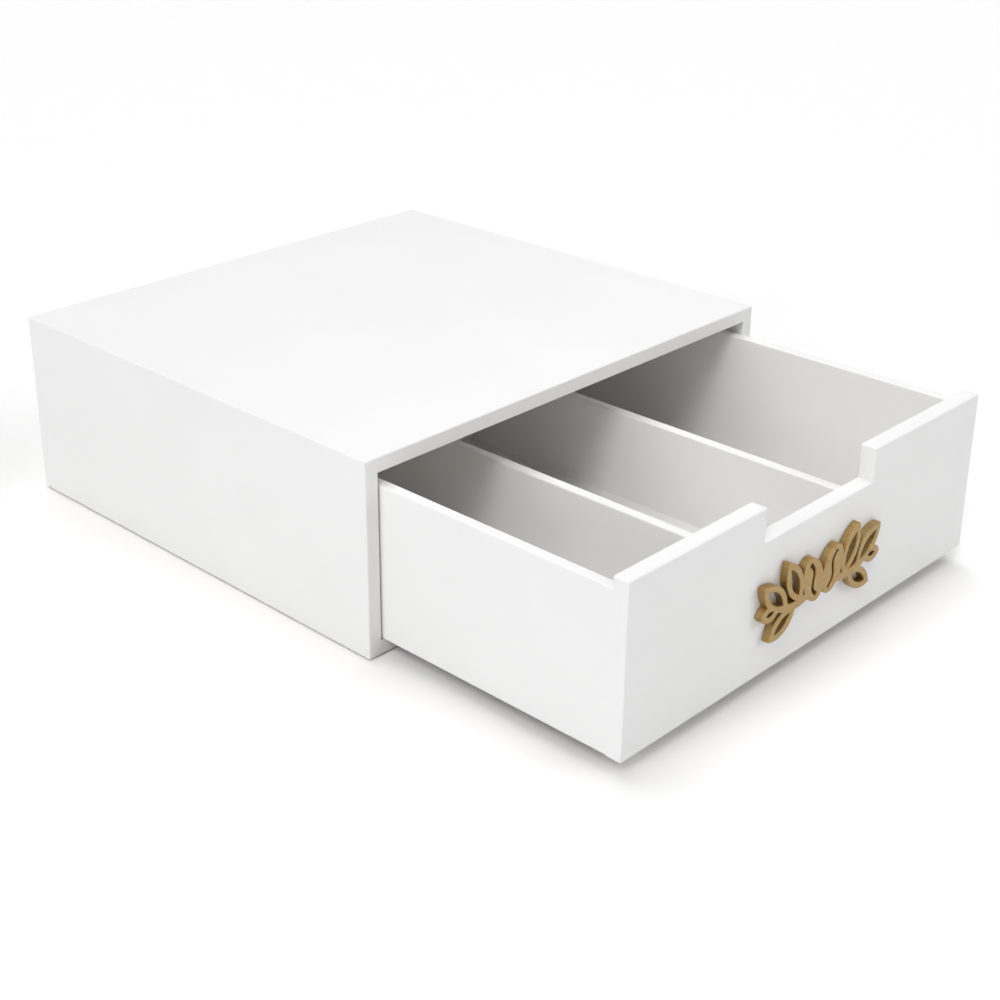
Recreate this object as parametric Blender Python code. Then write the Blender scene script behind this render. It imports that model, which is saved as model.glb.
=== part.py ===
"""Coffee capsule drawer: a painted box that a machine stands on, with one three-compartment drawer.

Metres, +Z up. The origin is the centre of the case's underside. The drawer pulls out towards -Y and
is drawn partly open, as it rests. Boards butt together, and nails with sunk heads hold them.
"""

import math

import bmesh
import bpy
from mathutils import Matrix, Vector, geometry

# Case
CASE_WIDTH = 0.300
CASE_DEPTH = 0.280
CASE_HEIGHT = 0.105
CASE_BOARD = 0.008
CASE_BACK_BOARD = 0.006

# Drawer boards: the floor is housed in all four walls, the dividers in the front and back
FRONT_BOARD = 0.009
DRAWER_BOARD = 0.006
DIVIDER_BOARD = 0.006
FLOOR_BOARD = 0.003
FLOOR_HEIGHT = 0.008
FLOOR_HOUSING = 0.003
SIDE_STEP = 0.0059
COMPARTMENTS = 3
DIVIDER_HOUSING = 0.002

# Finger notch in the drawer front, and how far the divider tops lie below its lip
NOTCH_WIDTH = 0.0885
NOTCH_DEPTH = 0.0175
DIVIDER_DROP = 0.010

# Clearances: at a glued joint, and round the drawer in the case
JOINT_GAP = 0.0003
SLIDE_GAP = 0.0003
SIDE_CLEARANCE = 0.001
TOP_CLEARANCE = 0.0008
BACK_CLEARANCE = 0.001

# How far the drawer stands open at rest, counted from closed with its front flush
OPEN_AT_REST = 0.1485

# Sanded edges: a thin board's are limited to a share of its thickness
EDGE_RADIUS = 0.0009
EDGE_LIMIT = 0.33
EDGE_SEGMENTS = 2

# Nails: the heads are sunk below the faces
NAIL_SHANK_RADIUS = 0.0006
NAIL_HEAD_RADIUS = 0.0010
NAIL_HEAD_THICKNESS = 0.0006
NAIL_POINT = 0.0015
NAIL_SINK = 0.001
NAIL_CLEARANCE = 0.0003
NAIL_SIDES = 8
CASE_NAIL_LENGTH = 0.025
CASE_NAIL_MARGIN = 0.040
CASE_NAILS_PER_EDGE = 3
BACK_NAIL_MARGIN = 0.025
BACK_NAILS_PER_END = 2
DRAWER_NAIL_LENGTH = 0.018
DRAWER_NAIL_MARGIN = 0.011
DRAWER_NAILS_PER_END = 3
DIVIDER_NAILS_PER_END = 2

# Ornament, cut from one plate: a pair of beans that overlap a little, between two leafy sprigs.
# The beans' middle lies a little above the middle of the face below the notch.
ORNAMENT_THICKNESS = 0.004
ORNAMENT_RISE = 0.0038
BEAN_LENGTH = 0.0250
BEAN_WIDTH = 0.0158
BEAN_OVERLAP = 0.0011
BEAN_TILT = math.radians(20)
BEAN_STEPS = 32
SLIT_WIDTH = 0.0020
SLIT_WAVE = 0.0018
SLIT_MARGIN = 0.0030
CURVE_STEPS = 12

# The sprig's stem, a curve whose start, bend and end are measured from the middle of its bean
STEM_WIDTH = 0.0042
STEM_START = 0.003
STEM_START_DROP = 0.006
STEM_BEND = 0.016
STEM_BEND_DROP = 0.011
STEM_END = 0.030
STEM_END_DROP = 0.003

# Its leaves, each cut out inside an even stroke
LEAF_STROKE = 0.0032
LEAF_STEPS = 10
UPRIGHT_LEAF_LENGTH = 0.0270
UPRIGHT_LEAF_WIDTH = 0.0125
OUTER_LEAF_LENGTH = 0.0262
OUTER_LEAF_WIDTH = 0.0122
LOWER_LEAF_LENGTH = 0.0235
LOWER_LEAF_WIDTH = 0.0112
TIP_LEAF_LENGTH = 0.0138
TIP_LEAF_WIDTH = 0.0088
LEAVES = (
    # share of the way along the stem, angle in degrees, length, width
    (0.24, 64, UPRIGHT_LEAF_LENGTH, UPRIGHT_LEAF_WIDTH),
    (0.65, 41, OUTER_LEAF_LENGTH, OUTER_LEAF_WIDTH),
    (0.40, -31, LOWER_LEAF_LENGTH, LOWER_LEAF_WIDTH),
    (0.90, -3, TIP_LEAF_LENGTH, TIP_LEAF_WIDTH),
)

# Worked out from the sizes above
OPENING_WIDTH = CASE_WIDTH - 2 * CASE_BOARD
OPENING_HEIGHT = CASE_HEIGHT - 2 * CASE_BOARD
DRAWER_WIDTH = OPENING_WIDTH - 2 * SIDE_CLEARANCE
DRAWER_DEPTH = CASE_DEPTH - CASE_BACK_BOARD - BACK_CLEARANCE
FRONT_HEIGHT = OPENING_HEIGHT - SLIDE_GAP - TOP_CLEARANCE
SIDE_HEIGHT = FRONT_HEIGHT - SIDE_STEP
FLOOR_TOP = FLOOR_HEIGHT + FLOOR_BOARD
NOTCH_LIP = FRONT_HEIGHT - NOTCH_DEPTH
DIVIDER_TOP = NOTCH_LIP - DIVIDER_DROP
INNER_WIDTH = DRAWER_WIDTH - 2 * DRAWER_BOARD
INNER_BACK = DRAWER_DEPTH - DRAWER_BOARD
COMPARTMENT_WIDTH = (INNER_WIDTH - (COMPARTMENTS - 1) * DIVIDER_BOARD) / COMPARTMENTS

OVERCUT = 0.001
WELD = 0.000001
SMOOTH_ANGLE = math.radians(40)
TRIANGLES_INSIDE = 1


def clear_scene():
    for item in list(bpy.data.objects):
        bpy.data.objects.remove(item, do_unlink=True)


def make_material(name, colour, roughness, metallic=0.0):
    material = bpy.data.materials.new(name)
    material.use_nodes = True
    shader = material.node_tree.nodes["Principled BSDF"]
    shader.inputs["Base Color"].default_value = (*colour, 1.0)
    shader.inputs["Roughness"].default_value = roughness
    shader.inputs["Metallic"].default_value = metallic
    return material


def make_mesh(name, builder, material=None):
    mesh = bpy.data.meshes.new(name)
    builder.to_mesh(mesh)
    builder.free()
    if material:
        mesh.materials.append(material)
    return mesh


def place_object(name, mesh, parent=None, place=(0, 0, 0)):
    """A named object at its place under its parent; without a mesh it is an empty."""
    item = bpy.data.objects.new(name, mesh)
    bpy.context.scene.collection.objects.link(item)
    item.parent = parent
    item.location = place
    return item


def add_object(name, builder, material=None, parent=None, place=(0, 0, 0)):
    return place_object(name, make_mesh(name, builder, material), parent, place)


def add_tool(name, builder, parent=None, place=(0, 0, 0)):
    """A shape that only cuts or joins others."""
    item = add_object(name, builder, None, parent, place)
    item.hide_render = True
    item.display_type = "WIRE"
    return item


def cut(item, *tools):
    for tool in tools:
        modifier = item.modifiers.new(tool.name, "BOOLEAN")
        modifier.solver = "EXACT"
        modifier.operation = "DIFFERENCE"
        modifier.object = tool


def block(low, high):
    """Bmesh box between two corners."""
    builder = bmesh.new()
    add_block(builder, low, high)
    return builder


def add_block(builder, low, high):
    low, high = Vector(low), Vector(high)
    place = Matrix.Translation((low + high) / 2) @ Matrix.Diagonal((*(high - low), 1.0))
    bmesh.ops.create_cube(builder, size=1.0, matrix=place)


def prism(points, faces, near, far):
    """Bmesh solid between two Y planes, from (x, z) points and the flat faces that they make."""
    builder = bmesh.new()
    verts = [builder.verts.new((x, near, z)) for x, z in points]
    flat = [builder.faces.new([verts[corner] for corner in face]) for face in faces]
    unused = [vert for vert in verts if not vert.link_faces]
    bmesh.ops.delete(builder, geom=unused, context="VERTS")
    swept = bmesh.ops.extrude_face_region(builder, geom=flat)["geom"]
    moved = [part for part in swept if isinstance(part, bmesh.types.BMVert)]
    bmesh.ops.translate(builder, verts=moved, vec=(0, far - near, 0))
    bmesh.ops.recalc_face_normals(builder, faces=builder.faces)
    return builder


def soften(builder, edges, board_thickness):
    bmesh.ops.bevel(
        builder, geom=edges, offset=min(EDGE_RADIUS, board_thickness * EDGE_LIMIT), offset_type="OFFSET",
        segments=EDGE_SEGMENTS, profile=0.5, affect="EDGES", clamp_overlap=True,
    )


def edge_name(edge):
    """Which edge of a centred box this is, such as -y+z for the top front one."""
    middle = (edge.verts[0].co + edge.verts[1].co) / 2
    return "".join(
        ("+" if value > 0 else "-") + axis
        for axis, value in zip("xyz", middle)
        if abs(value) > WELD
    )


def board(name, low, high, material, parent, soft_edges=""):
    """A board with its origin at its middle; soft_edges names the edges that are sanded round."""
    low, high = Vector(low), Vector(high)
    size = high - low
    builder = block(-size / 2, size / 2)
    soft = [edge for edge in builder.edges if edge_name(edge) in soft_edges.split()]
    if soft:
        soften(builder, soft, min(size))
    return add_object(name, builder, material, parent, (low + high) / 2)


def spread(first, last, count):
    """Evenly spaced places from first to last; one alone lies in the middle."""
    if count == 1:
        return [(first + last) / 2]
    return [first + (last - first) * step / (count - 1) for step in range(count)]


def turned(profile):
    """Bmesh solid of revolution about Z, from (radius, height) points listed from the top down."""
    builder = bmesh.new()
    verts = [builder.verts.new((radius, 0, height)) for radius, height in profile]
    edges = [builder.edges.new(pair) for pair in zip(verts, verts[1:])]
    bmesh.ops.spin(
        builder, geom=verts + edges, cent=(0, 0, 0), axis=(0, 0, 1), angle=math.tau,
        steps=NAIL_SIDES, use_merge=True,
    )
    bmesh.ops.remove_doubles(builder, verts=builder.verts, dist=WELD)
    bmesh.ops.recalc_face_normals(builder, faces=builder.faces)
    return builder


def repeated(builder, places):
    """Bmesh with one copy of a shape at each place."""
    pattern = bpy.data.meshes.new("pattern")
    builder.to_mesh(pattern)
    builder.free()
    copies = bmesh.new()
    for place in places:
        copy = pattern.copy()
        copy.transform(place)
        copies.from_mesh(copy)
        bpy.data.meshes.remove(copy)
    bpy.data.meshes.remove(pattern)
    return copies


def nail_profile(length):
    return (
        (0, 0),
        (NAIL_HEAD_RADIUS, 0),
        (NAIL_HEAD_RADIUS, -NAIL_HEAD_THICKNESS),
        (NAIL_SHANK_RADIUS, -NAIL_HEAD_THICKNESS),
        (NAIL_SHANK_RADIUS, NAIL_POINT - length),
        (0, -length),
    )


def nail_hole_profile(length):
    head = NAIL_HEAD_RADIUS + NAIL_CLEARANCE
    shank = NAIL_SHANK_RADIUS + NAIL_CLEARANCE
    mouth = NAIL_SINK + OVERCUT
    step = -NAIL_HEAD_THICKNESS - NAIL_CLEARANCE
    end = -length - NAIL_CLEARANCE
    return (0, mouth), (head, mouth), (head, step), (shank, step), (shank, end), (0, end)


def nail_mesh(name, length, material):
    """A nail with its head at the origin and its point down."""
    mesh = make_mesh(name, turned(nail_profile(length)), material)
    mesh.shade_smooth()
    mesh.set_sharp_from_angle(angle=SMOOTH_ANGLE)
    return mesh


def nails(name, spots, length, material, parent):
    """Like nails, one object each on a shared mesh, and the tool that drills for all of them.

    Each spot is a point on a board's face and the face's outward direction there.
    """
    mesh = nail_mesh(name, length, material)
    holes = []
    for number, (point, outward) in enumerate(spots, 1):
        outward = Vector(outward)
        turn = Vector((0, 0, 1)).rotation_difference(outward)
        place = Vector(point) - outward * NAIL_SINK
        nail = place_object(f"{name}_{number}", mesh, parent, place)
        nail.rotation_euler = turn.to_euler()
        holes.append(Matrix.Translation(place) @ turn.to_matrix().to_4x4())
    return add_tool(name + "_holes", repeated(turned(nail_hole_profile(length)), holes), parent)


def case_nails(steel):
    """Drilling tools for the nails of the top, the bottom and the back."""
    edge_x = CASE_WIDTH / 2 - CASE_BOARD / 2
    back_y = CASE_DEPTH / 2 - CASE_BACK_BOARD / 2
    along = spread(CASE_NAIL_MARGIN - CASE_DEPTH / 2, CASE_DEPTH / 2 - CASE_NAIL_MARGIN,
                   CASE_NAILS_PER_EDGE)
    up = spread(BACK_NAIL_MARGIN, CASE_HEIGHT - BACK_NAIL_MARGIN, BACK_NAILS_PER_END)
    top = [((x, y, CASE_HEIGHT), (0, 0, 1)) for x in (-edge_x, edge_x) for y in along]
    bottom = [((x, y, 0), (0, 0, -1)) for x in (-edge_x, edge_x) for y in along]
    back = [((side * CASE_WIDTH / 2, back_y, z), (side, 0, 0)) for side in (-1, 1) for z in up]
    return (
        nails("case_top_nail", top, CASE_NAIL_LENGTH, steel, None),
        nails("case_bottom_nail", bottom, CASE_NAIL_LENGTH, steel, None),
        nails("case_back_nail", back, CASE_NAIL_LENGTH, steel, None),
    )


def build_case(paint, steel):
    half_width, half_depth = CASE_WIDTH / 2, CASE_DEPTH / 2
    wall_low = CASE_BOARD + JOINT_GAP
    wall_high = CASE_HEIGHT - CASE_BOARD - JOINT_GAP
    upright_corners = "-x-y +x-y -x+y +x+y"
    top = board(
        "case_top", (-half_width, -half_depth, CASE_HEIGHT - CASE_BOARD),
        (half_width, half_depth, CASE_HEIGHT), paint, None,
        upright_corners + " -x+z +x+z -y+z +y+z",
    )
    bottom = board(
        "case_bottom", (-half_width, -half_depth, 0), (half_width, half_depth, CASE_BOARD), paint,
        None, upright_corners + " -x-z +x-z -y-z +y-z",
    )
    left = board(
        "case_left_side", (-half_width, -half_depth, wall_low),
        (CASE_BOARD - half_width, half_depth, wall_high), paint, None, "-x-y -x+y",
    )
    right = board(
        "case_right_side", (half_width - CASE_BOARD, -half_depth, wall_low),
        (half_width, half_depth, wall_high), paint, None, "+x-y +x+y",
    )
    back_half_width = OPENING_WIDTH / 2 - JOINT_GAP
    back = board(
        "case_back", (-back_half_width, half_depth - CASE_BACK_BOARD, wall_low),
        (back_half_width, half_depth, wall_high), paint, None,
    )
    top_holes, bottom_holes, back_holes = case_nails(steel)
    cut(top, top_holes)
    cut(bottom, bottom_holes)
    for side in (left, right):
        cut(side, top_holes, bottom_holes, back_holes)
    cut(back, back_holes)


def divider_centres():
    pitch = COMPARTMENT_WIDTH + DIVIDER_BOARD
    first = -pitch * (COMPARTMENTS - 2) / 2
    return [first + pitch * step for step in range(COMPARTMENTS - 1)]


def divider_names():
    if COMPARTMENTS == 3:
        return ["divider_left", "divider_right"]
    return [f"divider_{step + 1}" for step in range(COMPARTMENTS - 1)]


def front_outline():
    edge, lip = DRAWER_WIDTH / 2, NOTCH_WIDTH / 2
    return (
        (-edge, 0), (edge, 0), (edge, FRONT_HEIGHT), (lip, FRONT_HEIGHT), (lip, NOTCH_LIP),
        (-lip, NOTCH_LIP), (-lip, FRONT_HEIGHT), (-edge, FRONT_HEIGHT),
    )


def is_soft_on_front(edge):
    """Sanded are the face's outline, the back's top and notch edges, and the upper corners."""
    middle = (edge.verts[0].co + edge.verts[1].co) / 2
    if middle.y < WELD:
        return True
    if middle.y > FRONT_BOARD - WELD:
        return middle.z > WELD and abs(middle.x) < DRAWER_WIDTH / 2 - WELD
    return middle.z > FRONT_HEIGHT - WELD


def drawer_front(paint, drawer):
    outline = front_outline()
    builder = prism(outline, [range(len(outline))], 0, FRONT_BOARD)
    soften(builder, [edge for edge in builder.edges if is_soft_on_front(edge)], FRONT_BOARD)
    return add_object("drawer_front", builder, paint, drawer)


def floor_housing(drawer):
    """Tool that grooves the four drawer walls for the floor."""
    reach = INNER_WIDTH / 2 + FLOOR_HOUSING
    low = (-reach, FRONT_BOARD - FLOOR_HOUSING, FLOOR_HEIGHT - JOINT_GAP)
    high = (reach, INNER_BACK + FLOOR_HOUSING, FLOOR_TOP + JOINT_GAP)
    return add_tool("floor_housing", block(low, high), drawer)


def divider_housing(drawer):
    """Tool that houses the ends of the dividers in the drawer front and back."""
    builder = bmesh.new()
    reach = DIVIDER_BOARD / 2 + JOINT_GAP
    for x in divider_centres():
        low = (x - reach, FRONT_BOARD - DIVIDER_HOUSING, FLOOR_TOP)
        high = (x + reach, INNER_BACK + DIVIDER_HOUSING, DIVIDER_TOP + JOINT_GAP)
        add_block(builder, low, high)
    return add_tool("divider_housing", builder, drawer)


def drawer_nails(steel, drawer):
    """Drilling tools for the nails of the drawer front, its back and the dividers."""
    side_x = DRAWER_WIDTH / 2 - DRAWER_BOARD / 2
    back_y = DRAWER_DEPTH - DRAWER_BOARD / 2
    up = spread(FLOOR_TOP + DRAWER_NAIL_MARGIN, SIDE_HEIGHT - DRAWER_NAIL_MARGIN,
                DRAWER_NAILS_PER_END)
    divider_up = spread(FLOOR_TOP + DRAWER_NAIL_MARGIN, DIVIDER_TOP - DRAWER_NAIL_MARGIN,
                        DIVIDER_NAILS_PER_END)
    front = [((x, 0, z), (0, -1, 0)) for x in (-side_x, side_x) for z in up]
    back = [((side * DRAWER_WIDTH / 2, back_y, z), (side, 0, 0)) for side in (-1, 1) for z in up]
    ends = [((x, DRAWER_DEPTH, z), (0, 1, 0)) for x in divider_centres() for z in divider_up]
    return (
        nails("drawer_front_nail", front, DRAWER_NAIL_LENGTH, steel, drawer),
        nails("drawer_back_nail", back, DRAWER_NAIL_LENGTH, steel, drawer),
        nails("divider_nail", ends, DRAWER_NAIL_LENGTH, steel, drawer),
    )


def build_drawer(paint, steel):
    """The drawer hangs on an empty at the middle of its front's lower edge, on the slide's axis."""
    axis_point = (0, -CASE_DEPTH / 2 - OPEN_AT_REST, CASE_BOARD + SLIDE_GAP)
    drawer = place_object("drawer_slide", None, None, axis_point)
    outer, inner = DRAWER_WIDTH / 2, INNER_WIDTH / 2
    side_front = FRONT_BOARD + JOINT_GAP
    front = drawer_front(paint, drawer)
    left = board(
        "drawer_left_side", (-outer, side_front, 0), (-inner, DRAWER_DEPTH, SIDE_HEIGHT), paint,
        drawer, "-x+z +x+z -x-z -x+y",
    )
    right = board(
        "drawer_right_side", (inner, side_front, 0), (outer, DRAWER_DEPTH, SIDE_HEIGHT), paint,
        drawer, "-x+z +x+z +x-z +x+y",
    )
    back = board(
        "drawer_back", (JOINT_GAP - inner, INNER_BACK, 0), (inner - JOINT_GAP, DRAWER_DEPTH, SIDE_HEIGHT),
        paint, drawer, "-y+z +y+z",
    )
    floor_reach = FLOOR_HOUSING - JOINT_GAP
    board(
        "drawer_bottom", (-inner - floor_reach, FRONT_BOARD - floor_reach, FLOOR_HEIGHT),
        (inner + floor_reach, INNER_BACK + floor_reach, FLOOR_TOP), paint, drawer,
    )
    front_holes, back_holes, divider_holes = drawer_nails(steel, drawer)
    divider_reach = DIVIDER_HOUSING - JOINT_GAP
    for name, x in zip(divider_names(), divider_centres()):
        divider = board(
            name, (x - DIVIDER_BOARD / 2, FRONT_BOARD - divider_reach, FLOOR_TOP + JOINT_GAP),
            (x + DIVIDER_BOARD / 2, INNER_BACK + divider_reach, DIVIDER_TOP), paint, drawer,
            "-x+z +x+z",
        )
        cut(divider, divider_holes)
    floor_groove, divider_groove = floor_housing(drawer), divider_housing(drawer)
    cut(front, floor_groove, divider_groove, front_holes)
    for side in (left, right):
        cut(side, floor_groove, front_holes, back_holes)
    cut(back, floor_groove, divider_groove, back_holes, divider_holes)
    return drawer


def placed(outline, x, z, angle, side):
    """Outline turned by an angle and moved; side -1 mirrors the result across the middle."""
    turn = Matrix.Rotation(angle, 2)
    points = [turn @ Vector(point) + Vector((x, z)) for point in outline]
    return [(side * point.x, point.y) for point in points]


def bean_offset():
    """How far a bean's middle lies from the plate's, so that the tilted beans overlap."""
    reach = math.hypot(BEAN_LENGTH / 2 * math.sin(BEAN_TILT), BEAN_WIDTH / 2 * math.cos(BEAN_TILT))
    return reach - BEAN_OVERLAP / 2


def bean_outline():
    angles = [math.tau * step / BEAN_STEPS for step in range(BEAN_STEPS)]
    return [(BEAN_LENGTH / 2 * math.cos(a), BEAN_WIDTH / 2 * math.sin(a)) for a in angles]


def ribbon_outline(middle_line, width):
    """A band of even width along a line of points."""
    points = [Vector(point) for point in middle_line]
    near, far = [], []
    for step, point in enumerate(points):
        before = points[max(step - 1, 0)]
        after = points[min(step + 1, len(points) - 1)]
        along = (after - before).normalized()
        across = Vector((-along.y, along.x)) * width / 2
        near.append(point + across)
        far.append(point - across)
    return near + far[::-1]


def slit_outline():
    reach = BEAN_LENGTH / 2 - SLIT_MARGIN
    shares = spread(-1, 1, CURVE_STEPS + 1)
    return ribbon_outline([(reach * s, SLIT_WAVE * math.sin(math.pi * s)) for s in shares], SLIT_WIDTH)


def stem_point(share):
    """A point on the stem's quadratic curve, at a share of the way from start to end."""
    start = Vector((bean_offset() + STEM_START, -STEM_START_DROP))
    bend = Vector((bean_offset() + STEM_BEND, -STEM_BEND_DROP))
    end = Vector((bean_offset() + STEM_END, -STEM_END_DROP))
    return (1 - share) ** 2 * start + 2 * share * (1 - share) * bend + share ** 2 * end


def stem_outline():
    return ribbon_outline([stem_point(share) for share in spread(0, 1, CURVE_STEPS + 1)], STEM_WIDTH)


def leaf_outline(length, width, inset):
    """Two arcs that meet in points, starting at the origin, drawn in by the inset all round."""
    rise = width / 2
    radius = (length ** 2 / 4 + rise ** 2) / (2 * rise)
    centre_drop = radius - rise
    radius -= inset
    sweep = math.acos(centre_drop / radius)
    angles = spread(-sweep, sweep, LEAF_STEPS + 1)
    upper = [(length / 2 + radius * math.sin(a), radius * math.cos(a) - centre_drop) for a in angles]
    lower = [(x, -z) for x, z in upper[-2:0:-1]]
    return upper + lower


def ornament_outlines():
    """Outlines of the plate's forms and of the openings cut in them."""
    forms, openings = [], []
    for side in (-1, 1):
        bean = (bean_offset(), 0, math.pi / 2 - BEAN_TILT, side)
        forms.append(placed(bean_outline(), *bean))
        openings.append(placed(slit_outline(), *bean))
        forms.append(placed(stem_outline(), 0, 0, 0, side))
        for share, degrees, length, width in LEAVES:
            spot = (*stem_point(share), math.radians(degrees), side)
            forms.append(placed(leaf_outline(length, width, 0), *spot))
            openings.append(placed(leaf_outline(length, width, LEAF_STROKE), *spot))
    return forms, openings


def counterclockwise(outline):
    twice_area = sum(a[0] * b[1] - b[0] * a[1] for a, b in zip(outline, outline[1:] + outline[:1]))
    return outline if twice_area > 0 else outline[::-1]


def joined_and_cut(forms, openings):
    """Points and triangles of what the forms cover together, less the openings."""
    points, faces = [], []
    for outline in forms + openings:
        faces.append(range(len(points), len(points) + len(outline)))
        points += [Vector(point) for point in counterclockwise(outline)]
    made = geometry.delaunay_2d_cdt(points, [], faces, TRIANGLES_INSIDE, WELD)
    corners, triangles, sources = made[0], made[2], made[5]
    # A triangle's sources are the outlines that cover it: none of them in a gap between forms
    kept = [
        triangle for triangle, source in zip(triangles, sources)
        if source and max(source) < len(forms)
    ]
    return corners, kept


def build_ornament(gold, drawer):
    """One plate, glued to the drawer front."""
    builder = prism(*joined_and_cut(*ornament_outlines()), -JOINT_GAP - ORNAMENT_THICKNESS, -JOINT_GAP)
    add_object("front_ornament", builder, gold, drawer, (0, 0, NOTCH_LIP / 2 + ORNAMENT_RISE))


def build():
    clear_scene()
    paint = make_material("white_paint", (0.86, 0.86, 0.85), 0.45)
    steel = make_material("nail_steel", (0.55, 0.56, 0.58), 0.35, 1.0)
    gold = make_material("brushed_gold", (0.60, 0.40, 0.17), 0.38, 0.9)
    build_case(paint, steel)
    drawer = build_drawer(paint, steel)
    build_ornament(gold, drawer)


build()
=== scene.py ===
"""Looks of the coffee capsule drawer: painted boards, a gold plate on the front, and a plain white studio.

Metres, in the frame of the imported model: the case's underside is at z = 0, and the drawer pulls out
towards -y. Every board takes its size and place from the model's own board. On its glued sides it is
drawn out by the width of the glue joint, because the paint runs on over the joints.
"""

import math

import bmesh
import bpy
from mathutils import Euler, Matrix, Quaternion, Vector


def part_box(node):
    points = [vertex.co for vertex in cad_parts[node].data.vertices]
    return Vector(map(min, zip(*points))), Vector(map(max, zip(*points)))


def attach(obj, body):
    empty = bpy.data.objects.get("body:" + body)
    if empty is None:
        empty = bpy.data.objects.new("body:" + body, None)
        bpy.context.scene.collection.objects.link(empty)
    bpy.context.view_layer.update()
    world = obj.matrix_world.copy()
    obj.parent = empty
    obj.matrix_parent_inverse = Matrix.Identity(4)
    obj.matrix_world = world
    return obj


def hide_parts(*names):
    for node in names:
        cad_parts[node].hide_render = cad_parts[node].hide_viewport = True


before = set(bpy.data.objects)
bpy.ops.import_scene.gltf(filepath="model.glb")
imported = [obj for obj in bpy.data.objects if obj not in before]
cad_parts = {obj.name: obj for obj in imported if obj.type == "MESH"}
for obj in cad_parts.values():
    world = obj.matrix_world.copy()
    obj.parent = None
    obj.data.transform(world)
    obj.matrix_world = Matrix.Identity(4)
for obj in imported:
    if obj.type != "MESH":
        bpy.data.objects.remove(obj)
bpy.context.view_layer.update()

# Boards
GLUE_JOINT = 0.0003
EDGE_ROUND = 0.0009
INNER_EDGE_ROUND = 0.0005
CORNER_ROUND = 0.0014
ROUND_STEPS = 3
ROUND_PROFILE = 0.5
RUN_OUT = 0.0002

# Finger notch in the drawer front, as in the model
NOTCH_WIDTH = 0.0885
NOTCH_DEPTH = 0.0175

# Gold plate
PLATE_EDGE_ROUND = 0.0004
PLATE_ROUND_STEPS = 2
PLATE_SHORTEST_EDGE = 0.0004

# What counts as in one place, as one point, as a sharp edge and as one flat face
NEAR = 0.00002
WELD = 0.000001
SHARP_ANGLE = math.radians(40)
FLAT_ANGLE = math.radians(1)

# Materials: a scale is how often a pattern changes in a metre, and a depth is in metres
PATTERN_RANGE = (0.3, 0.7)

# White paint
PAINT_DARKER = (0.823, 0.802, 0.776)
PAINT_LIGHTER = (0.843, 0.822, 0.796)
PAINT_ROUGHNESS = (0.52, 0.62)
PAINT_SPECULAR = 0.35
PAINT_TONE_SCALE = 14.0
PAINT_GLOSS_SCALE = 55.0
PAINT_WAVE_SCALE = 30.0
PAINT_WAVE_DEPTH = 0.0004
PAINT_PEEL_SCALE = 700.0
PAINT_PEEL_DEPTH = 0.00004

# Gold lacquer
GOLD_WORN = (0.300, 0.188, 0.064)
GOLD_WARM = (0.466, 0.280, 0.092)
GOLD_PALE = (0.418, 0.321, 0.153)
GOLD_ROUGHNESS = (0.32, 0.48)
GOLD_METALLIC = 0.75
GOLD_STREAK_SLANT = math.radians(35)
GOLD_STREAK_SCALES = (260, 260, 2600)
GOLD_STREAK_DEPTH = 0.00006
GOLD_MOTTLE_SCALE = 420.0
GOLD_MOTTLE_ROUGHNESS = 0.6
GOLD_MOTTLE_SHARE = 0.5
GOLD_WORN_RANGE = (0.33, 0.67)
GOLD_HUE_SCALE = 150.0
GOLD_HUE_RANGE = (0.40, 0.60)

# Nail steel
STEEL_DARKER = (0.42, 0.42, 0.43)
STEEL_LIGHTER = (0.60, 0.60, 0.61)
STEEL_ROUGHNESS = (0.28, 0.45)
STEEL_SPOT_SCALE = 900.0
STEEL_GLOSS_SCALE = 1500.0
STEEL_GRAIN_SCALE = 4000.0
STEEL_GRAIN_DEPTH = 0.00001

# Camera, at the photograph's view; the lens and the sensor are in millimetres
CAMERA_PLACE = Vector((-0.62372, -0.66725, 0.43031))
CAMERA_TURN = math.radians(45.13)
CAMERA_DROP = math.radians(23.78)
CAMERA_ROLL = math.radians(-0.178)
CAMERA_LENS = 61.416
CAMERA_SENSOR = 36.0
CAMERA_SHIFT = (0.0489, -0.0648)

# Floor and world; the floor's drop leaves the fine dark line that the photograph shows under the case
FLOOR_SIZE = 24.0
FLOOR_DROP = 0.0008
FLOOR_SEEN = (1.0, 0.975, 0.943)
FLOOR_BOUNCE = (0.90, 0.90, 0.90)
WORLD_SEEN = (1.0, 1.0, 1.0)
WORLD_LIGHT = 0.02

# Lamps: name, side it shines from, height and spread in degrees, and strength
# Side 0 is the front, 90 the left and 180 the back
LAMPS = (
    ("top_lamp", 65, 50, 20, 1.03),
    ("back_lamp", 180, 70, 40, 1.13),
    ("rear_lamp", 235, 60, 40, 0.555),
    ("left_lamp", 90, 13, 40, 1.215),
    ("right_lamp", 315, 25, 40, 1.21),
)
# These two are low, and their reflection would whiten the case's top seen from behind
LAMPS_OUT_OF_GLOSS = ("left_lamp", "right_lamp")
LAMP_DISTANCE = 2.0
LAMP_COLOUR = (0.975, 1.0, 1.033)
PANEL_PLACE = (-0.10, -0.35, 0.60)
PANEL_SIZE = 0.5
PANEL_POWER = 0.58


def clear_selection():
    if bpy.context.object and bpy.context.object.mode != "OBJECT":
        bpy.ops.object.mode_set(mode="OBJECT")
    bpy.ops.object.select_all(action="DESELECT")


def work_on(piece):
    """Makes a piece the only one that is selected, and the active one."""
    clear_selection()
    piece.select_set(True)
    bpy.context.view_layer.objects.active = piece


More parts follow.
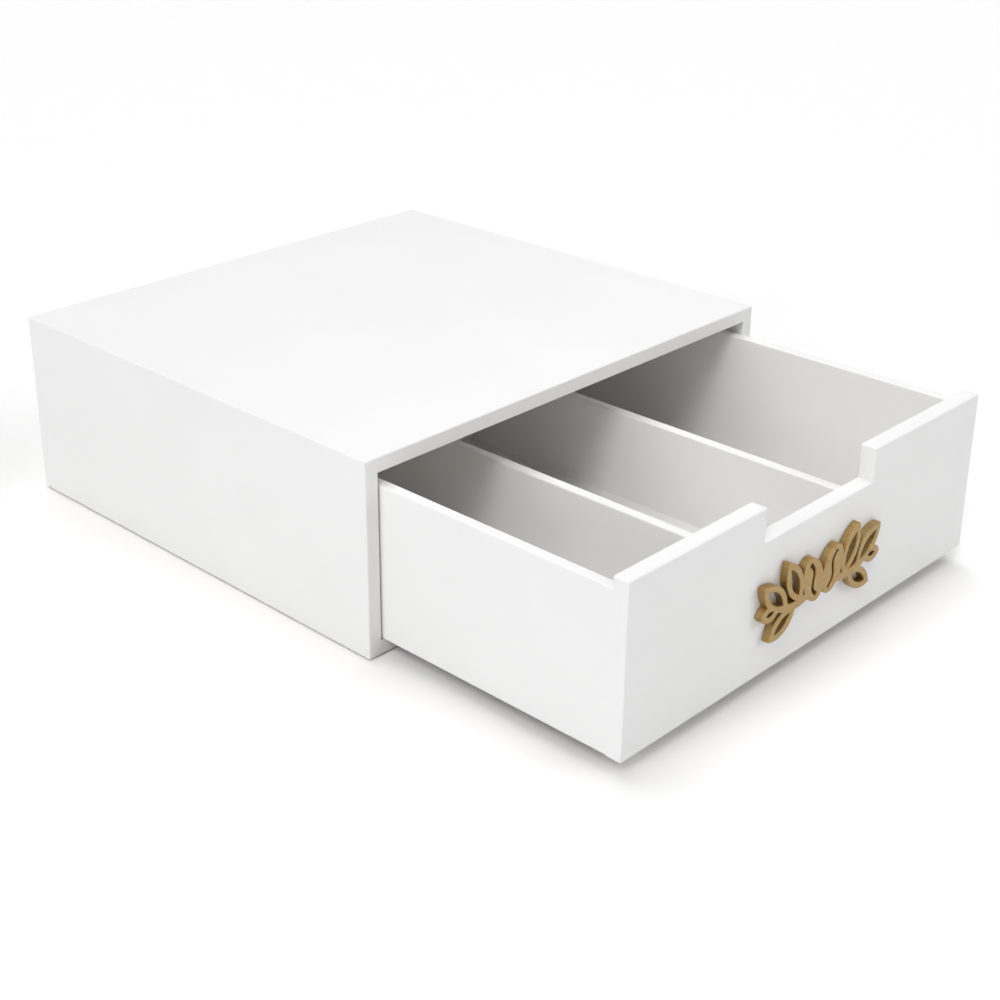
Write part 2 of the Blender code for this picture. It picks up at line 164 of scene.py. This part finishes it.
def select_sharp_edges(piece, wanted):
    """Selects the sharp edges that pass a test on their two faces' directions and their own middle."""
    bpy.ops.object.mode_set(mode="EDIT")
    bpy.ops.mesh.select_mode(type="EDGE")
    bpy.ops.mesh.select_all(action="DESELECT")
    shape = bmesh.from_edit_mesh(piece.data)
    for edge in shape.edges:
        if len(edge.link_faces) == 2 and edge.calc_face_angle() > SHARP_ANGLE:
            normals = [face.normal for face in edge.link_faces]
            middle = (edge.verts[0].co + edge.verts[1].co) / 2
            edge.select_set(wanted(normals, middle))
    bmesh.update_edit_mesh(piece.data)


def select_faces(piece, wanted):
    """Selects the faces that pass a test on their direction and their middle."""
    bpy.ops.object.mode_set(mode="EDIT")
    bpy.ops.mesh.select_mode(type="FACE")
    bpy.ops.mesh.select_all(action="DESELECT")
    shape = bmesh.from_edit_mesh(piece.data)
    for face in shape.faces:
        face.select_set(wanted(face.normal, face.calc_center_median()))
    bmesh.update_edit_mesh(piece.data)


def side_name(normal):
    """Which way a face of a board looks, such as +z."""
    axis = max(range(3), key=lambda number: abs(normal[number]))
    return ("+" if normal[axis] > 0 else "-") + "xyz"[axis]


def side_names(normals):
    return {side_name(normal) for normal in normals}


def opposite(side):
    return ("-" if side[0] == "+" else "+") + side[1]


def round_edges(piece, width, wanted, steps=ROUND_STEPS):
    select_sharp_edges(piece, wanted)
    bpy.ops.mesh.bevel(
        offset=width, offset_type="OFFSET", segments=steps, profile=ROUND_PROFILE, affect="EDGES",
    )
    bpy.ops.mesh.select_all(action="SELECT")
    bpy.ops.mesh.remove_doubles(threshold=WELD)
    bpy.ops.object.mode_set(mode="OBJECT")


def round_named_edges(piece, width, names):
    """Rounds the edges between two named sides each, such as -y+z."""
    pairs = [{name[:2], name[2:]} for name in names.split()]
    round_edges(piece, width, lambda normals, middle: side_names(normals) in pairs)


def smooth_over(piece):
    """Round edges shade smoothly and flat faces stay flat."""
    work_on(piece)
    bpy.ops.object.shade_smooth_by_angle(angle=SHARP_ANGLE, keep_sharp_edges=True)
    bpy.ops.object.modifier_add(type="WEIGHTED_NORMAL")
    piece.modifiers[-1].keep_sharp = True
    bpy.ops.object.modifier_apply(modifier=piece.modifiers[-1].name)


def finish_piece(piece, material, body, node):
    """Smooths and coats a piece, which takes a node's place and rides on its body."""
    smooth_over(piece)
    piece.data.materials.clear()
    piece.data.materials.append(material)
    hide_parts(node)
    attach(piece, body)


def board_box(node, glued=""):
    """The corners of a board, drawn out by the glue joint on its glued sides, such as -z+z."""
    low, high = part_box(node)
    for sign, axis in zip(glued[::2], glued[1::2]):
        if sign == "-":
            low["xyz".index(axis)] -= GLUE_JOINT
        else:
            high["xyz".index(axis)] += GLUE_JOINT
    return low, high


def sawn_board(name, low, high):
    """A block between two corners, its place in its mesh."""
    clear_selection()
    bpy.ops.mesh.primitive_cube_add(size=1, location=(low + high) / 2)
    piece = bpy.context.object
    piece.name = piece.data.name = name
    piece.scale = high - low
    bpy.ops.object.transform_apply(location=True, rotation=True, scale=True)
    return piece


def mark_across(piece, point, direction):
    """Marks a board all round where a rounding ends, and again just past it, where it runs out."""
    point, direction = Vector(point), Vector(direction)
    work_on(piece)
    bpy.ops.object.mode_set(mode="EDIT")
    for past in (0, RUN_OUT):
        bpy.ops.mesh.select_all(action="SELECT")
        bpy.ops.mesh.bisect(plane_co=point + direction * past, plane_no=direction)
    bpy.ops.object.mode_set(mode="OBJECT")


def case_flat_board(name, paint, outside):
    """The case's top or bottom, with outside +z or -z: between the sides its inner front edge is eased."""
    low, high = board_box(name)
    piece = sawn_board(name + "_board", low, high)
    inner_front = {"-y", opposite(outside)}
    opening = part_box("case_right_side")[0].x
    mark_across(piece, (opening, 0, 0), (1, 0, 0))
    mark_across(piece, (-opening, 0, 0), (-1, 0, 0))

    def free_edge(normals, middle):
        return side_names(normals) == inner_front and abs(middle.x) < opening

    round_edges(piece, INNER_EDGE_ROUND, free_edge)
    outer = " ".join(side + outside for side in ("-x", "+x", "-y", "+y"))
    round_named_edges(piece, EDGE_ROUND, "-x-y +x-y -x+y +x+y " + outer)
    finish_piece(piece, paint, "case", name)


def case_side_board(name, paint, outside):
    """A side of the case, with outside -x or +x."""
    low, high = board_box(name, "-z+z")
    piece = sawn_board(name + "_board", low, high)
    round_named_edges(piece, INNER_EDGE_ROUND, opposite(outside) + "-y")
    round_named_edges(piece, EDGE_ROUND, f"{outside}-y {outside}+y")
    finish_piece(piece, paint, "case", name)


def case_back_board(paint):
    low, high = board_box("case_back", "-x+x-z+z")
    piece = sawn_board("case_back_board", low, high)
    round_named_edges(piece, GLUE_JOINT, "+y-x +y+x +y-z +y+z")
    finish_piece(piece, paint, "case", "case_back")


def notched_board(name, low, high):
    """A board that ends at the notch's lip, whose two ends are then drawn up beside the notch."""
    piece = sawn_board(name, low, Vector((high.x, high.y, high.z - NOTCH_DEPTH)))
    bpy.ops.object.mode_set(mode="EDIT")
    for x in (-NOTCH_WIDTH / 2, NOTCH_WIDTH / 2):
        bpy.ops.mesh.select_all(action="SELECT")
        bpy.ops.mesh.bisect(plane_co=(x, 0, 0), plane_no=(1, 0, 0))

    def beside_notch(normal, middle):
        return side_name(normal) == "+z" and abs(middle.x) > NOTCH_WIDTH / 2

    select_faces(piece, beside_notch)
    bpy.ops.mesh.extrude_region_move(TRANSFORM_OT_translate={"value": (0, 0, NOTCH_DEPTH)})
    bpy.ops.mesh.select_all(action="SELECT")
    bpy.ops.mesh.dissolve_limited(angle_limit=FLAT_ANGLE)
    bpy.ops.object.mode_set(mode="OBJECT")
    return piece


def drawer_front_board(paint):
    """The front, rounded wherever the drawer's sides don't meet it."""
    low, high = board_box("drawer_front")
    lip = high.z - NOTCH_DEPTH
    piece = notched_board("drawer_front_board", low, high)
    side_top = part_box("drawer_left_side")[1].z
    mark_across(piece, (0, 0, side_top), (0, 0, -1))

    def free_corner(normals, middle):
        at_an_end = middle.z > side_top and abs(middle.x) > high.x - NEAR
        return side_names(normals) in ({"+y", "-x"}, {"+y", "+x"}) and at_an_end

    def free_edge(normals, middle):
        sides = side_names(normals)
        on_notch = abs(middle.x) < NOTCH_WIDTH / 2 + NEAR and middle.z > lip - NEAR
        return "-y" in sides or middle.z > high.z - NEAR or ("+y" in sides and on_notch)

    round_edges(piece, CORNER_ROUND, free_corner)
    round_edges(piece, EDGE_ROUND, free_edge)
    finish_piece(piece, paint, "drawer", "drawer_front")


def drawer_side_board(name, paint, outside):
    """A side of the drawer, with outside -x or +x."""
    low, high = board_box(name, "-y")
    piece = sawn_board(name + "_board", low, high)
    round_named_edges(piece, EDGE_ROUND, f"-x+z +x+z {outside}-z {outside}+y +y+z")
    finish_piece(piece, paint, "drawer", name)


def drawer_back_board(paint):
    low, high = board_box("drawer_back", "-x+x")
    piece = sawn_board("drawer_back_board", low, high)
    round_named_edges(piece, EDGE_ROUND, "-y+z +y+z")
    finish_piece(piece, paint, "drawer", "drawer_back")


def drawer_bottom_board(paint):
    low, high = board_box("drawer_bottom")
    piece = sawn_board("drawer_bottom_board", low, high)
    round_named_edges(piece, GLUE_JOINT, "-x+z +x+z -y+z +y+z")
    finish_piece(piece, paint, "drawer", "drawer_bottom")


def divider_board(name, paint):
    low, high = board_box(name, "-z")
    piece = sawn_board(name + "_board", low, high)
    round_named_edges(piece, EDGE_ROUND, "-x+z +x+z")
    finish_piece(piece, paint, "drawer", name)


def gold_plate(gold):
    """The plate on the front: the model's own outline, with its face's edges rounded."""
    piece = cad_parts["front_ornament"].copy()
    piece.data = piece.data.copy()
    piece.name = piece.data.name = "gold_plate"
    piece.parent = None
    for key in list(piece.keys()):
        del piece[key]
    bpy.context.scene.collection.objects.link(piece)
    work_on(piece)
    bpy.ops.object.mode_set(mode="EDIT")
    bpy.ops.mesh.select_all(action="SELECT")
    bpy.ops.mesh.remove_doubles(threshold=PLATE_SHORTEST_EDGE)
    bpy.ops.mesh.dissolve_limited(angle_limit=FLAT_ANGLE)
    bpy.ops.object.mode_set(mode="OBJECT")
    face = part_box("front_ornament")[0].y
    round_edges(piece, PLATE_EDGE_ROUND, lambda normals, middle: middle.y < face + NEAR, PLATE_ROUND_STEPS)
    finish_piece(piece, gold, "drawer", "front_ornament")


def new_material(name):
    material = bpy.data.materials.new(name)
    material.use_nodes = True
    return material, material.node_tree, material.node_tree.nodes["Principled BSDF"]


def add_node(tree, kind, settings=None, **inputs):
    """Adds a node, with settings by name, and plain values by the names of its inputs."""
    node = tree.nodes.new(kind)
    for key, value in (settings or {}).items():
        setattr(node, key, value)
    for key, value in inputs.items():
        node.inputs[key].default_value = value
    return node


def piece_coordinates(tree):
    return add_node(tree, "ShaderNodeTexCoord").outputs["Object"]


def noise(tree, coordinates, scale, detail, roughness=0.5):
    node = add_node(tree, "ShaderNodeTexNoise", Scale=scale, Detail=detail, Roughness=roughness)
    tree.links.new(coordinates, node.inputs["Vector"])
    return node.outputs["Fac"]


def spread_value(tree, value, wanted=(0.0, 1.0), taken=PATTERN_RANGE):
    """Spreads the middle of a pattern's range over a range of values."""
    node = add_node(tree, "ShaderNodeMapRange")
    for key, number in zip(("From Min", "From Max", "To Min", "To Max"), taken + wanted):
        node.inputs[key].default_value = number
    tree.links.new(value, node.inputs["Value"])
    return node.outputs["Result"]


def between(tree, share, low_colour, high_colour):
    """A colour between two, each plain or made by nodes."""
    node = add_node(tree, "ShaderNodeMix", {"data_type": "RGBA"})
    for name, colour in (("A", low_colour), ("B", high_colour)):
        if isinstance(colour, tuple):
            node.inputs[name].default_value = (*colour, 1.0)
        else:
            tree.links.new(colour, node.inputs[name])
    tree.links.new(share, node.inputs["Factor"])
    return node.outputs["Result"]


def bump(tree, height, depth, under=None):
    """The shading of a surface that rises and falls with a pattern, on top of another bump if given."""
    node = add_node(tree, "ShaderNodeBump", Distance=depth)
    tree.links.new(height, node.inputs["Height"])
    if under:
        tree.links.new(under, node.inputs["Normal"])
    return node.outputs["Normal"]


def white_paint():
    """Sprayed satin paint: an even, faintly warm white with a fine orange peel and a slow waviness."""
    material, tree, shader = new_material("white_paint")
    place = piece_coordinates(tree)
    tone = spread_value(tree, noise(tree, place, PAINT_TONE_SCALE, detail=3.0))
    tree.links.new(between(tree, tone, PAINT_DARKER, PAINT_LIGHTER), shader.inputs["Base Color"])
    gloss = spread_value(tree, noise(tree, place, PAINT_GLOSS_SCALE, detail=4.0), PAINT_ROUGHNESS)
    tree.links.new(gloss, shader.inputs["Roughness"])
    shader.inputs["Specular IOR Level"].default_value = PAINT_SPECULAR
    waves = bump(tree, noise(tree, place, PAINT_WAVE_SCALE, detail=1.0), PAINT_WAVE_DEPTH)
    peel = bump(tree, noise(tree, place, PAINT_PEEL_SCALE, detail=2.0), PAINT_PEEL_DEPTH, waves)
    tree.links.new(peel, shader.inputs["Normal"])
    return material


def brushed_gold():
    """Gold lacquer, rubbed by hand: short slanting streaks over a mottled ground."""
    material, tree, shader = new_material("brushed_gold")
    place = piece_coordinates(tree)
    slant = add_node(
        tree, "ShaderNodeMapping", Rotation=(0, GOLD_STREAK_SLANT, 0), Scale=GOLD_STREAK_SCALES,
    )
    tree.links.new(place, slant.inputs["Vector"])
    streaks = noise(tree, slant.outputs["Vector"], scale=1.0, detail=3.0)
    mottle = noise(tree, place, GOLD_MOTTLE_SCALE, detail=3.0, roughness=GOLD_MOTTLE_ROUGHNESS)
    wear = add_node(tree, "ShaderNodeMix", Factor=GOLD_MOTTLE_SHARE)
    tree.links.new(streaks, wear.inputs["A"])
    tree.links.new(mottle, wear.inputs["B"])
    rubbed_share = spread_value(tree, wear.outputs["Result"], taken=GOLD_WORN_RANGE)
    hue = spread_value(tree, noise(tree, place, GOLD_HUE_SCALE, detail=2.0), taken=GOLD_HUE_RANGE)
    rubbed = between(tree, hue, GOLD_WARM, GOLD_PALE)
    tree.links.new(between(tree, rubbed_share, GOLD_WORN, rubbed), shader.inputs["Base Color"])
    tree.links.new(spread_value(tree, wear.outputs["Result"], GOLD_ROUGHNESS), shader.inputs["Roughness"])
    shader.inputs["Metallic"].default_value = GOLD_METALLIC
    tree.links.new(bump(tree, streaks, GOLD_STREAK_DEPTH), shader.inputs["Normal"])
    return material


def nail_steel():
    """Drawn wire: a fine grain and small spots of tarnish."""
    material, tree, shader = new_material("nail_steel")
    place = piece_coordinates(tree)
    spots = spread_value(tree, noise(tree, place, STEEL_SPOT_SCALE, detail=4.0))
    tree.links.new(between(tree, spots, STEEL_DARKER, STEEL_LIGHTER), shader.inputs["Base Color"])
    gloss = spread_value(tree, noise(tree, place, STEEL_GLOSS_SCALE, detail=2.0), STEEL_ROUGHNESS)
    tree.links.new(gloss, shader.inputs["Roughness"])
    shader.inputs["Metallic"].default_value = 1.0
    grain = noise(tree, place, STEEL_GRAIN_SCALE, detail=2.0)
    tree.links.new(bump(tree, grain, STEEL_GRAIN_DEPTH), shader.inputs["Normal"])
    return material


def seen_directly(tree):
    """1 for what the camera sees, straight or in a reflection, and 0 for what only lights the scene."""
    path = add_node(tree, "ShaderNodeLightPath")
    total = path.outputs["Is Camera Ray"]
    for name in ("Is Glossy Ray", "Is Transmission Ray"):
        node = add_node(tree, "ShaderNodeMath", {"operation": "ADD", "use_clamp": True})
        tree.links.new(total, node.inputs[0])
        tree.links.new(path.outputs[name], node.inputs[1])
        total = node.outputs["Value"]
    return total


def lay_floor():
    """A plain pale floor that reads as white, and still takes the object's shadow."""
    clear_selection()
    bpy.ops.mesh.primitive_plane_add(size=FLOOR_SIZE, location=(0, 0, -FLOOR_DROP))
    floor = bpy.context.object
    floor.name = floor.data.name = "studio_floor"
    bpy.ops.object.transform_apply(location=True, rotation=True, scale=True)
    material, tree, shader = new_material("studio_floor")
    colour = between(tree, seen_directly(tree), FLOOR_BOUNCE, FLOOR_SEEN)
    tree.links.new(colour, shader.inputs["Base Color"])
    shader.inputs["Roughness"].default_value = 1.0
    shader.inputs["Specular IOR Level"].default_value = 0.0
    floor.data.materials.append(material)


def light_world():
    """White all round to the camera, and only a weak even light on the object."""
    world = bpy.data.worlds.new("studio")
    bpy.context.scene.world = world
    world.use_nodes = True
    tree = world.node_tree
    background = tree.nodes["Background"]
    light = tuple(WORLD_LIGHT * share for share in LAMP_COLOUR)
    colour = between(tree, seen_directly(tree), light, WORLD_SEEN)
    tree.links.new(colour, background.inputs["Color"])


def hang_lamps():
    """Five wide soft suns light the object and the floor evenly, and a panel lights the open drawer."""
    for name, turn, height, spread, strength in LAMPS:
        clear_selection()
        turn, height = math.radians(turn), math.radians(height)
        ahead = math.cos(height)
        towards_lamp = Vector((-math.sin(turn) * ahead, -math.cos(turn) * ahead, math.sin(height)))
        bpy.ops.object.light_add(type="SUN", location=towards_lamp * LAMP_DISTANCE)
        lamp = bpy.context.object
        lamp.name = lamp.data.name = name
        lamp.rotation_euler = towards_lamp.to_track_quat("Z", "Y").to_euler()
        lamp.data.energy = strength
        lamp.data.angle = math.radians(spread)
        lamp.data.color = LAMP_COLOUR
        lamp.visible_glossy = name not in LAMPS_OUT_OF_GLOSS
    clear_selection()
    bpy.ops.object.light_add(type="AREA", location=PANEL_PLACE)
    panel = bpy.context.object
    panel.name = panel.data.name = "front_panel_lamp"
    panel.data.size = PANEL_SIZE
    panel.data.energy = PANEL_POWER
    panel.data.color = LAMP_COLOUR


def place_camera():
    clear_selection()
    bpy.ops.object.camera_add(location=CAMERA_PLACE)
    camera = bpy.context.object
    camera.name = camera.data.name = "camera"
    aim = Euler((math.pi / 2 - CAMERA_DROP, 0, -CAMERA_TURN)).to_quaternion()
    camera.rotation_mode = "QUATERNION"
    camera.rotation_quaternion = aim @ Quaternion((0, 0, 1), CAMERA_ROLL)
    camera.data.sensor_width = CAMERA_SENSOR
    camera.data.lens = CAMERA_LENS
    camera.data.shift_x, camera.data.shift_y = CAMERA_SHIFT
    bpy.context.scene.camera = camera


def paint_case(paint):
    case_flat_board("case_top", paint, "+z")
    case_flat_board("case_bottom", paint, "-z")
    case_side_board("case_left_side", paint, "-x")
    case_side_board("case_right_side", paint, "+x")
    case_back_board(paint)


def paint_drawer(paint):
    drawer_front_board(paint)
    drawer_side_board("drawer_left_side", paint, "-x")
    drawer_side_board("drawer_right_side", paint, "+x")
    drawer_back_board(paint)
    drawer_bottom_board(paint)
    divider_board("divider_left", paint)
    divider_board("divider_right", paint)


def coat_nails(steel):
    for name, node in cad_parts.items():
        if "_nail_" in name:
            node.data.materials.clear()
            node.data.materials.append(steel)


place_camera()
paint = white_paint()
paint_case(paint)
paint_drawer(paint)
gold_plate(brushed_gold())
coat_nails(nail_steel())
lay_floor()
light_world()
hang_lamps()
bpy.context.scene.view_settings.view_transform = "Standard"
